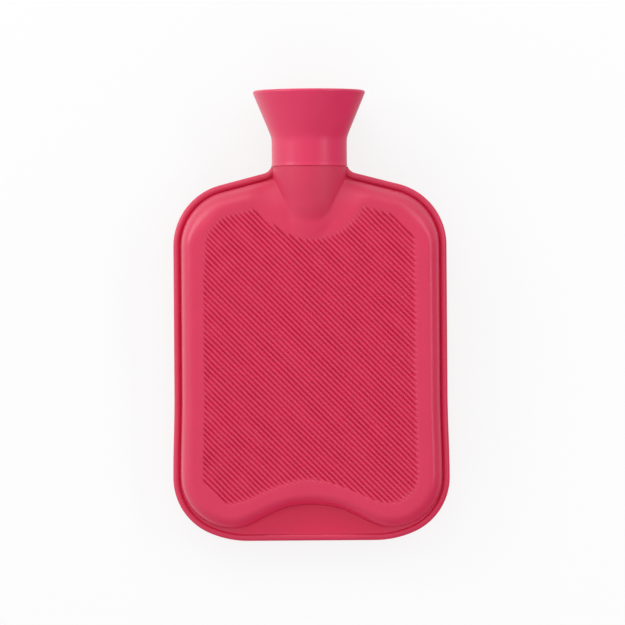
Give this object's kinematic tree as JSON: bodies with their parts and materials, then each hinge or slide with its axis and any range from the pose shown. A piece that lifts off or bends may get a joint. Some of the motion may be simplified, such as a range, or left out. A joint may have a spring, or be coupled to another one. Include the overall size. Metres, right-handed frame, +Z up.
{
  "type": "hot water bottle",
  "caption": "Moulded rubber hot water bottle with diagonal ribs, a beaded edge, a funnel mouth and a screw stopper, lying on its back.",
  "frame": {"origin": "middle of the bounding box's lower face, on the surface the bottle lies on", "axes": "+X across the bottle, +Y from the bottom edge to the funnel, +Z up from the back face to the front face; the bottle's own axis is tilted 4.35 degrees up towards the funnel"},
  "size_m": [0.2028, 0.332, 0.0824],
  "materials": {
    "bag_rubber": "satin moulded rubber",
    "funnel_rubber": "smooth satin rubber",
    "insert_plastic": "moulded, satin",
    "washer_rubber": "matt rubber",
    "stopper_plastic": "moulded, satin"
  },
  "bodies": {
    "bottle": {"rubber_bag": "bag_rubber", "filling_funnel": "funnel_rubber", "threaded_insert": "insert_plastic"},
    "washer": {"sealing_washer": "washer_rubber"},
    "stopper": {"screw_stopper": "stopper_plastic"}
  },
  "joints": [
    {"name": "stopper_rise", "type": "slide", "parent": "bottle", "child": "washer", "axis": [0, 0.9971, 0.0758], "range_m": [0, 0.057]},
    {"name": "stopper_turn", "type": "hinge", "parent": "washer", "child": "stopper", "pos_m": [0, 0.12613, 0.0385], "axis": [0, 0.9971, 0.0758], "range_deg": [0, 3600]}
  ],
  "couplings": [
    {"joint": "stopper_rise", "follows": "stopper_turn", "m_per_rad": 0.00090718}
  ]
}
